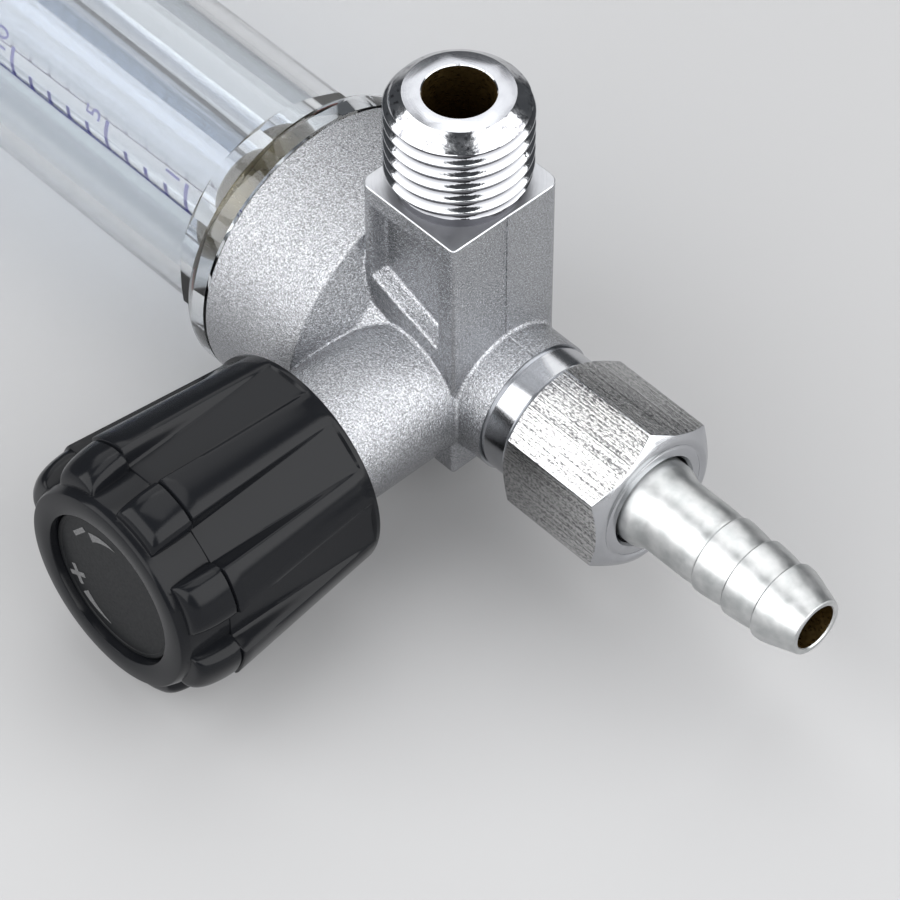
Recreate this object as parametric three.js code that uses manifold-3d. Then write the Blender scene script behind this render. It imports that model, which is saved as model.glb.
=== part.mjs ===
// Variable-area gas flow regulator: a forged brass body with a male inlet, a clear flow tube
// under a clear cover, a needle valve with a fluted knob, and a hose tail held by a union nut.
// Units are millimetres. The four branches leave one crossing point:
// +Z inlet, +X outlet, -Y needle valve and knob, -X flow tube.
import * as THREE from 'three';
import { ConvexGeometry } from 'three/addons/geometries/ConvexGeometry.js';
import { mergeVertices } from 'three/addons/utils/BufferGeometryUtils.js';
import Module from 'manifold-3d';

const wasm = await Module();
wasm.setup();

// ---------------------------------------------------------------- driving dimensions

const GAP = 0.2;                 // assembly gap between neighbouring pieces
const ROUND = 40;                // sides of large turned surfaces
const SMALL = 20;                // sides of small turned surfaces

// Body: block
const BLOCK_X = [-6.2, 6.52];
const BLOCK_Y = [-6.86, 6.75];
const BLOCK_Z = [-7.4, 22.8];
const POCKET_DEPTH = 1.7;
const POCKET_X = [-4.6, 4.4];
const POCKET_TOP_Z = 20.6;
const POCKET_REAR_Z = 11.5;      // the lower edge slants from here
const POCKET_FRONT_Z = 8.3;      // down to here
const POCKET_CORNER_R = 1.5;

// Body: round base that carries the flow tube
const BASE_R = 15.43;
const BASE_FRONT_X = -7.0;
const BASE_REAR_X = -18.96;
const BASE_CONE_R = 9.4;
const BASE_CONE_X = -4.05;
const SOCKET_R = 12.3;
const SOCKET_FLOOR_X = -11.5;
const SEAL_RECESS_R = 14.0;
const SEAL_RECESS_X = -17.3;

// Body: inlet, M14 x 1.5 male with a flat sealing face
const INLET_TOP_Z = 34.03;
const INLET_R = 7.0;
const INLET_FACE_R = 5.24;
const INLET_BORE_R = 3.44;
const INLET_BORE_END_Z = 9.5;
const INLET_RELIEF_R = 6.1;
const INLET_RELIEF_Z = 24.0;

// Body: branches for the needle valve and the outlet
const NECK_R = 7.2;
const NECK_END_Y = -24.0;
const OUTLET_NECK_R = 7.0;
const OUTLET_NECK_X = 10.2;
const OUTLET_COLLAR_R = 6.75;
const OUTLET_COLLAR_X = [10.6, 13.0];
const OUTLET_THREAD_R = 5.9;
const OUTLET_END_X = 19.3;

// Gas passages
const INLET_DROP_X = -3.6;
const DROP_R = 1.3;
const TUBE_FEED_R = 1.75;
const OUTLET_BORE_R = 2.6;
const OUTLET_BORE_START_X = -1.2;
const RETURN_Y = -9.9;
const RETURN_R = 1.1;
const SEAT_HOLE_R = 1.2;
const SEAT_FLOOR_Y = -7.3;
const CHAMBER_R = 3.2;
const CHAMBER_END_Y = -13.2;
const BONNET_BORE_R = 4.8;

// Flow tube, float and cover
const COVER_R = 12.58;
const COVER_BORE_R = 10.7;
const COVER_END_X = -112.5;
const COVER_SPIGOT_R = 12.1;
const COVER_SPIGOT_X = -12.2;
const FLANGE_R = 15.4;
const FLANGE_X = [-21.9, -19.2];
const WRENCH_FLAT = 12.62;
const WRENCH_CORNER_R = 13.66;
const WRENCH_END_X = -25.9;
const WRENCH_PHASE = 57;          // degrees from +Z to the first wrench corner
const FLOW_TUBE_R = 6.0;
const FLOW_TUBE_X = [-106.0, -18.6];
const FLOW_BORE_R = [4.4, 3.3];
const FLOAT_R = 3.05;
const FLOAT_REST_X = -26.2;

// Knob
const KNOB_REAR_Y = -20.34;
const KNOB_STEP_Y = -38.6;
const KNOB_FRONT_Y = -44.05;
const KNOB_RIB_R = [11.28, 13.1];
const KNOB_PANEL = 10.95;
const KNOB_RING_R = 10.27;
const KNOB_RECESS_R = 8.03;
const KNOB_RIBS = 8;
const KNOB_PHASE = 25.5;          // degrees from +X towards +Z to the first rib

// Union nut and hose tail
const NUT_X = [13.5, 26.5];
const NUT_CORNER_R = 8.45;
const NUT_FACE_R = 6.8;
const NUT_BORE_R = 6.1;
const NUT_SHOULDER_X = 22.7;
const NUT_HOLE_R = 4.8;
const TAIL_BORE_R = 2.35;
const TAIL_COLLAR_X = [20.5, 22.4];
const TAIL_COLLAR_R = 5.6;
const TAIL_SHOULDER_R = 4.5;
const TAIL_R = 3.95;
const BARB_R = 4.05;
const BARB_ROOT_R = 3.55;
const BARB_X = [35.3, 39.05, 42.8];
const TAIL_END_X = 47.3;
const TAIL_TIP_R = 2.95;

// ---------------------------------------------------------------- finishes

const finish = (color, roughness, metalness, extra = {}) =>
  new THREE.MeshStandardMaterial({ color, roughness, metalness, ...extra });

const SATIN_CHROME = finish(0xb9bcc2, 0.38, 1.0);
const BRIGHT_CHROME = finish(0xd2d4d6, 0.18, 1.0);
const NICKEL = finish(0xc4c6c4, 0.3, 1.0);
const BRASS = finish(0xb08d4a, 0.35, 1.0);
const STEEL = finish(0x9a9da2, 0.3, 1.0);
const BLACK_PLASTIC = finish(0x141517, 0.25, 0.0);
const CLEAR = finish(0xdfe6ea, 0.05, 0.0, { transparent: true, opacity: 0.35 });
const RED_RUBBER = finish(0xb0442a, 0.6, 0.0);
const BLACK_RUBBER = finish(0x1a1a1a, 0.7, 0.0);
const WHITE_PLASTIC = finish(0xe6e6e0, 0.4, 0.0);

// ---------------------------------------------------------------- solids

const rad = THREE.MathUtils.degToRad;

// Merged, non-degenerate and outward-facing copy of a geometry.
function closed(geometry) {
  const bare = geometry.clone();
  bare.deleteAttribute('normal');
  bare.deleteAttribute('uv');
  const merged = mergeVertices(bare, 1e-5);
  const index = Array.from(merged.index.array);
  const kept = [];
  for (let i = 0; i < index.length; i += 3) {
    const [a, b, c] = index.slice(i, i + 3);
    if (a !== b && b !== c && c !== a) kept.push(a, b, c);
  }
  merged.setIndex(signedVolume(merged, kept) < 0 ? kept.reverse() : kept);
  return merged;
}

function signedVolume(geometry, index) {
  const corner = [0, 1, 2].map(() => new THREE.Vector3());
  let sum = 0;
  for (let i = 0; i < index.length; i += 3) {
    corner.forEach((v, k) => v.fromBufferAttribute(geometry.attributes.position, index[i + k]));
    sum += corner[0].dot(corner[1].clone().cross(corner[2]));
  }
  return sum;
}

function solid(geometry) {
  const mesh = closed(geometry);
  return new wasm.Manifold(new wasm.Mesh({
    numProp: 3,
    vertProperties: Float32Array.from(mesh.attributes.position.array),
    triVerts: Uint32Array.from(mesh.index.array),
  }));
}

function geometryOf(manifold) {
  const mesh = manifold.getMesh();
  const geometry = new THREE.BufferGeometry();
  geometry.setAttribute('position', new THREE.Float32BufferAttribute(mesh.vertProperties, 3));
  geometry.setIndex(Array.from(mesh.triVerts));
  return geometry;
}

const join = (first, ...rest) => rest.reduce((sum, next) => sum.add(next), first);
const cut = (first, ...rest) => rest.reduce((sum, next) => sum.subtract(next), first);

// Turned solid: profile is a list of [position along the axis, radius].
function turned(axis, profile, sides = ROUND) {
  const points = profile.map(([along, radius]) => new THREE.Vector2(radius, along));
  const geometry = new THREE.LatheGeometry(points, sides);
  if (axis === 'x') geometry.rotateZ(-Math.PI / 2);
  if (axis === 'z') geometry.rotateX(Math.PI / 2);
  return geometry;
}

// Closed turned profiles: a plain rod and a plain tube.
const rodProfile = (from, to, r) => [[from, 0], [from, r], [to, r], [to, 0]];
const tubeProfile = (from, to, inner, outer) =>
  [[from, inner], [from, outer], [to, outer], [to, inner], [from, inner]];

const rod = (axis, from, to, r, sides = ROUND) => solid(turned(axis, rodProfile(from, to, r), sides));
const tube = (axis, from, to, inner, outer, sides = ROUND) =>
  solid(turned(axis, tubeProfile(from, to, inner, outer), sides));

// Rod parallel to an axis but away from it.
function offsetRod(axis, from, to, r, offset) {
  const geometry = turned(axis, rodProfile(from, to, r), SMALL);
  return solid(geometry.translate(...offset));
}

function box(x, y, z) {
  const geometry = new THREE.BoxGeometry(x[1] - x[0], y[1] - y[0], z[1] - z[0]);
  return solid(geometry.translate((x[0] + x[1]) / 2, (y[0] + y[1]) / 2, (z[0] + z[1]) / 2));
}

// Prism with flats, along an axis; the phase turns a corner away from +Z (x axis) or +X (y axis).
function prism(axis, from, to, cornerR, sides, phase = 0) {
  const geometry = new THREE.CylinderGeometry(cornerR, cornerR, Math.abs(to - from), sides);
  geometry.rotateY(rad(phase));
  geometry.translate(0, (from + to) / 2, 0);
  if (axis === 'x') geometry.rotateZ(-Math.PI / 2);
  return solid(geometry);
}

function ringTorus(axis, along, meanR, sectionR) {
  const geometry = new THREE.TorusGeometry(meanR, sectionR, 8, 24);
  if (axis === 'x') geometry.rotateY(Math.PI / 2).translate(along, 0, 0);
  if (axis === 'y') geometry.rotateX(Math.PI / 2).translate(0, along, 0);
  return geometry;
}

// ---------------------------------------------------------------- valve body

// Shallow pocket in a side of the block, with one rounded corner and a slanting lower edge.
function pocket(side) {
  const [rearX, frontX] = POCKET_X;
  const corner = POCKET_CORNER_R;
  const outline = new THREE.Shape();
  outline.moveTo(rearX, POCKET_REAR_Z);
  outline.lineTo(rearX, POCKET_TOP_Z);
  outline.lineTo(frontX - corner, POCKET_TOP_Z);
  outline.absarc(frontX - corner, POCKET_TOP_Z - corner, corner, Math.PI / 2, 0, true);
  outline.lineTo(frontX, POCKET_FRONT_Z);
  outline.closePath();
  const reach = 3;
  const options = { depth: reach, bevelEnabled: false, curveSegments: 5 };
  const geometry = new THREE.ExtrudeGeometry(outline, options);
  geometry.rotateX(Math.PI / 2);
  const floor = side < 0 ? BLOCK_Y[0] + POCKET_DEPTH : BLOCK_Y[1] - POCKET_DEPTH + reach;
  return solid(geometry.translate(0, floor, 0));
}

function valveBody() {
  const base = solid(turned('x', [
    [BASE_REAR_X, 0], [BASE_REAR_X, BASE_R], [BASE_FRONT_X, BASE_R],
    [BASE_CONE_X, BASE_CONE_R], [BASE_CONE_X, 0],
  ]));
  const block = box(BLOCK_X, BLOCK_Y, BLOCK_Z);
  const neck = rod('y', 0, NECK_END_Y, NECK_R);
  const gusset = solid(new ConvexGeometry([
    new THREE.Vector3(-4.6, -6.8, 8.1), new THREE.Vector3(-4.6, -8.8, 5.9),
    new THREE.Vector3(-1.5, -6.8, 7.1), new THREE.Vector3(-4.0, -5.0, 3.0),
  ]));
  const inlet = solid(turned('z', [
    [0, 0], [0, INLET_RELIEF_R - 0.4], [BLOCK_Z[1] - 1, INLET_RELIEF_R], [INLET_RELIEF_Z, INLET_RELIEF_R],
    [INLET_RELIEF_Z + 0.6, INLET_R], [INLET_TOP_Z - (INLET_R - INLET_FACE_R) * 0.75, INLET_R],
    [INLET_TOP_Z, INLET_FACE_R], [INLET_TOP_Z, 0],
  ]));
  const outlet = solid(turned('x', [
    [0, 0], [0, OUTLET_NECK_R], [OUTLET_NECK_X, OUTLET_NECK_R], [OUTLET_NECK_X, OUTLET_COLLAR_R - 0.6],
    [OUTLET_COLLAR_X[0], OUTLET_COLLAR_R - 0.6], [OUTLET_COLLAR_X[0], OUTLET_COLLAR_R],
    [OUTLET_COLLAR_X[1], OUTLET_COLLAR_R], [OUTLET_COLLAR_X[1], OUTLET_THREAD_R],
    [OUTLET_END_X - 0.6, OUTLET_THREAD_R], [OUTLET_END_X, OUTLET_THREAD_R - 0.6], [OUTLET_END_X, 0],
  ]));
  const forging = cut(join(base, block, neck, gusset, inlet, outlet), pocket(-1), pocket(1));

  const tubeSocket = solid(turned('x', [
    [BASE_REAR_X - 1, 0], [BASE_REAR_X - 1, SEAL_RECESS_R], [SEAL_RECESS_X, SEAL_RECESS_R],
    [SEAL_RECESS_X, SOCKET_R], [SOCKET_FLOOR_X, SOCKET_R], [SOCKET_FLOOR_X, 0],
  ]));
  return cut(
    forging,
    tubeSocket,
    rod('x', SOCKET_FLOOR_X - 1, -8.0, 4.5, SMALL),
    rod('x', -8.5, INLET_DROP_X - DROP_R, TUBE_FEED_R, SMALL),
    rod('z', INLET_TOP_Z + 1, INLET_BORE_END_Z, INLET_BORE_R, 32),
    offsetRod('z', INLET_BORE_END_Z + 1, -TUBE_FEED_R, DROP_R, [INLET_DROP_X, 0, 0]),
    rod('x', OUTLET_BORE_START_X, OUTLET_END_X + 1, OUTLET_BORE_R, SMALL),
    rod('y', 0, SEAT_FLOOR_Y - 0.5, SEAT_HOLE_R, SMALL),
    rod('y', SEAT_FLOOR_Y, CHAMBER_END_Y - 0.5, CHAMBER_R, SMALL),
    rod('y', CHAMBER_END_Y, NECK_END_Y - 1, BONNET_BORE_R, 32),
    offsetRod('x', SOCKET_FLOOR_X - 1, 0, RETURN_R, [0, RETURN_Y, 0]),
  );
}

// ---------------------------------------------------------------- flow tube group

function outerCover() {
  const domeR = 3.2;
  const wall = 1.9;
  const arc = (centreX, centreR, r) => [0, 45, 90].map((a) =>
    [centreX - r * Math.sin(rad(a)), centreR + r * Math.cos(rad(a))]);
  const outside = arc(COVER_END_X + domeR, COVER_R - domeR, domeR);
  const insideR = domeR - wall;
  const inside = arc(COVER_END_X + wall + insideR, COVER_BORE_R - insideR, insideR);
  const shell = solid(turned('x', [
    [COVER_SPIGOT_X, COVER_BORE_R], [COVER_SPIGOT_X, COVER_SPIGOT_R],
    [FLANGE_X[1], COVER_SPIGOT_R], [FLANGE_X[1], FLANGE_R - 0.2], [FLANGE_X[1] - 0.2, FLANGE_R],
    [FLANGE_X[0] + 0.5, FLANGE_R], [FLANGE_X[0], FLANGE_R - 0.5], [FLANGE_X[0], COVER_R],
    ...outside, [COVER_END_X, 0],
    [COVER_END_X + wall, 0], ...inside.reverse(),
    [COVER_SPIGOT_X, COVER_BORE_R],
  ]));
  const flats = prism('x', FLANGE_X[0] + 0.5, WRENCH_END_X, WRENCH_CORNER_R, 8, WRENCH_PHASE);
  const chamfer = solid(turned('x', [
    [FLANGE_X[0] + 1, 0], [FLANGE_X[0] + 1, WRENCH_CORNER_R], [WRENCH_END_X + 1.2, WRENCH_CORNER_R],
    [WRENCH_END_X, WRENCH_FLAT], [WRENCH_END_X, 0],
  ]));
  const hollow = rod('x', FLANGE_X[0] + 2, WRENCH_END_X - 1, COVER_BORE_R + 0.6);
  return join(shell, cut(flats.intersect(chamfer), hollow));
}

function flowTube() {
  const [top, bottom] = FLOW_TUBE_X;
  return solid(turned('x', [
    [bottom, FLOW_BORE_R[1]], [bottom, FLOW_TUBE_R], [top, FLOW_TUBE_R], [top, FLOW_BORE_R[0]],
    [FLOAT_REST_X, FLOW_BORE_R[1]], [bottom, FLOW_BORE_R[1]],
  ], 32));
}

// Screwed-in holder: stub with the gas hole, shoulder, and cup with a tapered nose that shows
// through the cover as a ring round the tube's lower end.
function tubeHolder() {
  return solid(turned('x', [
    [-8.3, 1.75], [-8.3, 4.3], [-12.5, 4.3], [-12.5, 7.0], [-14.2, 7.0],
    [-14.2, 8.4], [-24.6, 8.4], [-27.7, 7.2], [-28.3, 6.6], [-28.3, 6.3],
    [-22.9, 6.3], [-22.9, 7.4], [-21.1, 7.4],
    [-21.1, 6.3], [-18.3, 6.3], [-18.3, 1.75], [-8.3, 1.75],
  ], 24));
}

// Lower stop: a plug in the tube's mouth with a cross slot, so that the float never seals it.
function lowerStop() {
  const plug = tube('x', -18.9, -23.0, 1.2, 3.0, SMALL);
  const slot = box([-24.0, -22.1], [-0.7, 0.7], [-4, 4]);
  return cut(plug, slot);
}

// Upper stop: a plug in the tube's top with a castellated crown that lets the gas out sideways.
function upperStop() {
  const plug = solid(turned('x', [
    [-102.9, 1.6], [-102.9, 3.9], [-106.3, 3.9], [-106.3, 5.7], [-109.3, 5.7], [-109.3, 3.4],
    [-107.3, 3.4], [-107.3, 1.6], [-102.9, 1.6],
  ], SMALL));
  return cut(plug, box([-110, -107.6], [-1.3, 1.3], [-7, 7]), box([-110, -107.6], [-7, 7], [-1.3, 1.3]));
}

// Spacer that centres the tube's top in the cover, notched for the returning gas.
function tubeSpacer() {
  const ring = tube('x', -100.6, -103.2, 6.2, 10.4, 32);
  const notches = [0, 60, 120].map((angle) =>
    solid(new THREE.BoxGeometry(4, 24, 3.4).translate(-102, 0, 0).rotateX(rad(angle))));
  const core = rod('x', -99, -105, 8.0, 32);
  return cut(ring, ...notches.map((notch) => cut(notch, core)));
}

// ---------------------------------------------------------------- needle valve

function glandNut() {
  const profile = [
    [-13.5, 2.6], [-13.5, 4.6], [NECK_END_Y - GAP, 4.6], [NECK_END_Y - GAP, 6.6], [-27.0, 6.6],
    [-27.0, 2.35], [-21.9, 2.35], [-21.9, 3.5], [-20.1, 3.5], [-20.1, 2.6], [-13.5, 2.6],
  ];
  const turnedNut = solid(turned('y', profile, 32));
  const hex = join(prism('y', NECK_END_Y, -28, 6.6, 6), rod('y', -13, NECK_END_Y - GAP / 2, 5));
  return turnedNut.intersect(hex);
}

function needleSpindle() {
  const stem = solid(turned('y', [
    [-5.6, 0], [-5.6, 0.25], [-8.2, 1.12], [-9.6, 1.12], [-9.6, 2.1], [-11.0, 2.1], [-11.0, 1.6],
    [-12.0, 1.6], [-12.0, 2.5], [-18.7, 2.5], [-18.7, 2.0], [-32.3, 2.0], [-32.3, 0],
  ], SMALL));
  const drive = prism('y', -32.2, -39.2, 2.0, 6, 30);
  const screwHole = rod('y', -34.5, -40, 1.25, 12);
  return cut(join(stem, drive), screwHole);
}

function knob() {
  const [rearR, frontR] = KNOB_RIB_R;
  const skirt = solid(turned('y', [
    [KNOB_REAR_Y, 0], [KNOB_REAR_Y, rearR - 0.35], [KNOB_REAR_Y - 0.35, rearR],
    [KNOB_STEP_Y, frontR], [KNOB_STEP_Y, 0],
  ], 64));
  const nose = solid(turned('y', [
    [KNOB_STEP_Y + 0.5, 0], [KNOB_STEP_Y + 0.5, frontR - 0.25], [-41.6, frontR - 0.35],
    [-42.8, frontR - 1.1], [-43.3, KNOB_RING_R + 0.4], [-43.4, 0],
  ], 64));
  const ribs = [];
  for (let i = 0; i < KNOB_RIBS; i += 1) {
    const outline = new THREE.Shape();
    outline.moveTo(-1.75, 0);
    outline.lineTo(1.75, 0);
    outline.lineTo(2.35, KNOB_REAR_Y - KNOB_FRONT_Y);
    outline.lineTo(-2.35, KNOB_REAR_Y - KNOB_FRONT_Y);
    outline.closePath();
    const wedge = new THREE.ExtrudeGeometry(outline, { depth: 6, bevelEnabled: false });
    wedge.rotateX(Math.PI).translate(0, KNOB_REAR_Y, frontR + 1);
    wedge.rotateY(rad(90 - KNOB_PHASE - (360 / KNOB_RIBS) * i));
    ribs.push(solid(wedge));
  }
  const panelCornerR = KNOB_PANEL / Math.cos(Math.PI / KNOB_RIBS);
  const panels = prism('y', KNOB_REAR_Y, KNOB_STEP_Y, panelCornerR, KNOB_RIBS, 90 - KNOB_PHASE);
  const hub = solid(turned('y', [
    [KNOB_STEP_Y + 0.5, 0], [KNOB_STEP_Y + 0.5, 10.8], [-43.2, 10.6], [KNOB_FRONT_Y, KNOB_RING_R],
    [KNOB_FRONT_Y, 0],
  ], ROUND));
  const grip = join(panels, ...ribs);
  const outside = join(grip.intersect(skirt), join(...ribs).intersect(nose), hub);
  return cut(
    outside,
    rod('y', KNOB_REAR_Y + 1, -32.5, 9.2, 32),
    prism('y', -32, -39.4, 2.2, 6, 30),
    rod('y', -39.0, -42.4, 3.6, SMALL),
    rod('y', -42.2, KNOB_FRONT_Y - 1, KNOB_RECESS_R),
  );
}

function knobScrew() {
  return solid(turned('y', [
    [-35.0, 0], [-35.0, 1.05], [-40.1, 1.05], [-40.1, 2.9], [-41.3, 2.9], [-41.9, 2.2], [-41.9, 0],
  ], SMALL)).subtract(box([-3.2, 3.2], [-42.5, -41.2], [-0.4, 0.4]));
}

// ---------------------------------------------------------------- outlet

function unionNut() {
  const slope = Math.tan(rad(30));
  const chamferLength = (NUT_CORNER_R - NUT_FACE_R) * slope;
  const chamfered = solid(turned('x', [
    [NUT_X[0], 0], [NUT_X[0], NUT_FACE_R], [NUT_X[0] + chamferLength, NUT_CORNER_R],
    [NUT_X[1] - chamferLength, NUT_CORNER_R], [NUT_X[1], NUT_FACE_R], [NUT_X[1], 0],
  ]));
  const hex = prism('x', NUT_X[0], NUT_X[1], NUT_CORNER_R, 6, 90);
  return cut(
    hex.intersect(chamfered),
    rod('x', NUT_X[0] - 1, NUT_SHOULDER_X, NUT_BORE_R),
    rod('x', NUT_X[0] - 1, NUT_X[1] + 1, NUT_HOLE_R, 32),
  );
}

function hoseTail() {
  const collar = TAIL_COLLAR_X;
  const barbs = BARB_X.flatMap((x, i) => {
    const last = i === BARB_X.length - 1;
    return last ? [[x, BARB_R], [TAIL_END_X, TAIL_TIP_R]] : [[x, BARB_R], [BARB_X[i + 1], BARB_ROOT_R]];
  });
  return solid(turned('x', [
    [collar[0], TAIL_BORE_R], [collar[0], TAIL_COLLAR_R], [collar[1], TAIL_COLLAR_R],
    [collar[1], TAIL_SHOULDER_R], [27.6, TAIL_SHOULDER_R], [28.6, TAIL_R],
    [33.0, TAIL_R], [BARB_X[0], BARB_ROOT_R + 0.15], ...barbs,
    [TAIL_END_X, TAIL_BORE_R], [collar[0], TAIL_BORE_R],
  ], 24));
}

// ---------------------------------------------------------------- assembly

const assembly = new THREE.Group();

function piece(name, geometry, material) {
  const mesh = new THREE.Mesh(closed(geometry), material);
  mesh.name = name;
  assembly.add(mesh);
}

piece('valve_body', geometryOf(valveBody()), SATIN_CHROME);
piece('outer_cover', geometryOf(outerCover()), CLEAR);
piece('cover_o_ring', ringTorus('x', -18.2, 13.05, 0.72), RED_RUBBER);
piece('tube_holder', geometryOf(tubeHolder()), BRASS);
piece('holder_gasket', turned('x', tubeProfile(-11.7, -12.3, 4.6, 6.8), SMALL), BLACK_RUBBER);
piece('flow_tube', geometryOf(flowTube()), CLEAR);
piece('flow_tube_o_ring', ringTorus('x', -22.0, 6.72, 0.6), BLACK_RUBBER);
piece('lower_float_stop', geometryOf(lowerStop()), WHITE_PLASTIC);
piece('float_ball', new THREE.SphereGeometry(FLOAT_R, 18, 10).translate(FLOAT_REST_X, 0, 0), STEEL);
piece('upper_float_stop', geometryOf(upperStop()), WHITE_PLASTIC);
piece('tube_spacer', geometryOf(tubeSpacer()), WHITE_PLASTIC);
piece('tube_cushion', turned('x', tubeProfile(-109.5, -110.3, 3.0, 5.6), SMALL), BLACK_RUBBER);
piece('valve_seat', turned('y', tubeProfile(-7.4, -9.2, 1.25, 3.05), SMALL), WHITE_PLASTIC);
piece('needle_spindle', geometryOf(needleSpindle()), BRASS);
piece('spindle_clip', turned('y', tubeProfile(-11.1, -11.9, 1.7, 2.95), SMALL), STEEL);
piece('gland_nut', geometryOf(glandNut()), BRASS);
piece('gland_o_ring', ringTorus('y', -21.0, 2.75, 0.65), BLACK_RUBBER);
piece('knob', geometryOf(knob()), BLACK_PLASTIC);
piece('knob_washer', turned('y', tubeProfile(-39.45, -39.85, 1.4, 3.2), SMALL), STEEL);
piece('knob_screw', geometryOf(knobScrew()), STEEL);
piece('knob_disc', turned('y', rodProfile(-42.45, -43.25, KNOB_RECESS_R - 0.15), ROUND), BLACK_PLASTIC);
piece('outlet_gasket', turned('x', tubeProfile(19.5, 20.3, 2.6, 5.3), SMALL), BLACK_RUBBER);
piece('union_nut', geometryOf(unionNut()), BRIGHT_CHROME);
piece('hose_tail', geometryOf(hoseTail()), NICKEL);

// The origin is under the middle of the object, on the surface that it lies on.
const bounds = new THREE.Box3().setFromObject(assembly);
assembly.position.set(
  -(bounds.min.x + bounds.max.x) / 2,
  -(bounds.min.y + bounds.max.y) / 2,
  -bounds.min.z,
);

export default assembly;
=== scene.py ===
"""Looks of the gas flow regulator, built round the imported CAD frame.

Pieces are modelled in millimetres about the point where the four branches cross, in the CAD's
directions (+X hose tail, -X flow tube, -Y knob, +Z inlet), and then placed in metres.
"""
import math

import bmesh
import bpy
from mathutils import Matrix, Vector


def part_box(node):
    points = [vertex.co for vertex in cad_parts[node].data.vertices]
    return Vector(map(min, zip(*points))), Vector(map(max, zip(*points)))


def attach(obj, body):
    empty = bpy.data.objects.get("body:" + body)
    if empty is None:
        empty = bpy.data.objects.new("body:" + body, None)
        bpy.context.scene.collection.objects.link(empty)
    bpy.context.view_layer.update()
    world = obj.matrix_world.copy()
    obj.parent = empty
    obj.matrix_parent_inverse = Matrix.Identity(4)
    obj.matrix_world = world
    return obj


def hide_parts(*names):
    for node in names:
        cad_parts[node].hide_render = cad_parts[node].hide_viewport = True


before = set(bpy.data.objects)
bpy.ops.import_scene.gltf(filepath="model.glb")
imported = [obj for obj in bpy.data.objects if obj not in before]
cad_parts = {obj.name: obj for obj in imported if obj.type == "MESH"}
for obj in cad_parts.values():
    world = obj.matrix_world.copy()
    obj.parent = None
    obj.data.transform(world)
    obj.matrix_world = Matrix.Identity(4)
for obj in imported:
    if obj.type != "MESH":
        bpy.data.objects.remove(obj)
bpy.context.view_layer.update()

TAU = 2 * math.pi
MM = 0.001

# ---- places taken from the frame


def centre(node):
    low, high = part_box(node)
    return (low + high) / 2


ORIGIN = Vector((centre("knob").x, centre("outer_cover").y, centre("outer_cover").z))


def span(node, axis):
    """Lowest and highest place of a CAD node along an axis, in millimetres from the crossing point."""
    low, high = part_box(node)
    return (low[axis] - ORIGIN[axis]) / MM, (high[axis] - ORIGIN[axis]) / MM


BODY_X, BODY_Y, BODY_Z = (span("valve_body", axis) for axis in range(3))
COVER_X = span("outer_cover", 0)
KNOB_Y = span("knob", 1)
NUT_X = span("union_nut", 0)
TAIL_X = span("hose_tail", 0)
TUBE_X = span("flow_tube", 0)
DISC_Y = span("knob_disc", 1)

# ---- sizes, mm

BIG = 60  # reach of cutters that take off everything past a face

BLOCK_X = (-6.2, 6.52)
BLOCK_Y = (-6.86, 6.75)
BLOCK_TOP = 22.8
BLOCK_ROUND = (1.3, 0.45, 1.3, 0.8)  # corner radii, from the one by the base and the knob, anticlockwise
TOP_CHAMFER = 0.1
BASE_R = BODY_Y[1]
BASE_FRONT = -7.0
BASE_CONE = (-4.05, 9.4)
NECK_R = 7.2
OUTLET_NECK_R = 7.0
OUTLET_NECK_END = 10.25
COLLAR_X = (10.5, 13.35)
COLLAR_R = 6.75
SEAL_STEP = (-17.3, 14.0)  # floor and radius of the wide mouth that takes the cover's seal
SOCKET_FLOOR = -11.5
SOCKET_R = 12.3
INLET_R = 7.0
INLET_FACE_R = 5.24
INLET_BORE_R = 3.44
INLET_BORE_FLOOR = 9.5
INLET_PITCH = 1.5
THREAD_DEPTH = 0.64
CHAMFER_HEIGHT = 1.32
OUTLET_BORE_R = 2.6

COVER_R = 12.58
COVER_BORE_R = 10.7
COVER_THREAD_R = 12.1
FLANGE_X = (-21.9, -19.2)
FLANGE_R = 15.4
WRENCH_END = -25.9
WRENCH_R = 13.66
TUBE_R = 6.0
TUBE_BORE_R = 3.3

KNOB_RIBS = 8
KNOB_PHASE = math.radians(25.5)
KNOB_STEP = -38.6
RIM_R = 11.28
PANEL_D = 10.95  # from the knob's axis to the flat panels between its ribs
RIB_WALL = 0.28
PRINT_DEPTH = 0.03

NUT_CORNER_R = 8.45
NUT_FACE_R = 6.8

# ---- mesh helpers


def add_mesh(name, verts, faces):
    """New object, its face normals turned outward."""
    mesh = bpy.data.meshes.new(name)
    mesh.from_pydata(verts, [], faces)
    bm = bmesh.new()
    bm.from_mesh(mesh)
    bmesh.ops.recalc_face_normals(bm, faces=bm.faces)
    bm.to_mesh(mesh)
    bm.free()
    obj = bpy.data.objects.new(name, mesh)
    bpy.context.scene.collection.objects.link(obj)
    return obj


def on_axis(axis, along, u, v):
    """Point from a place along an axis and two places across it."""
    return {"x": (along, u, v), "y": (u, along, v), "z": (u, v, along)}[axis]


def rings_mesh(name, rings, closed):
    """Skin over equal rings of points; the ends are capped unless the rings close on themselves."""
    count = len(rings[0])
    verts = [point for ring in rings for point in ring]
    faces = []
    steps = len(rings) if closed else len(rings) - 1
    for i in range(steps):
        a, b = i * count, (i + 1) % len(rings) * count
        for j in range(count):
            k = (j + 1) % count
            faces.append((a + j, a + k, b + k, b + j))
    if not closed:
        faces.append(tuple(range(count)))
        faces.append(tuple(range((len(rings) - 1) * count, len(rings) * count)))
    return add_mesh(name, verts, faces)


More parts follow.
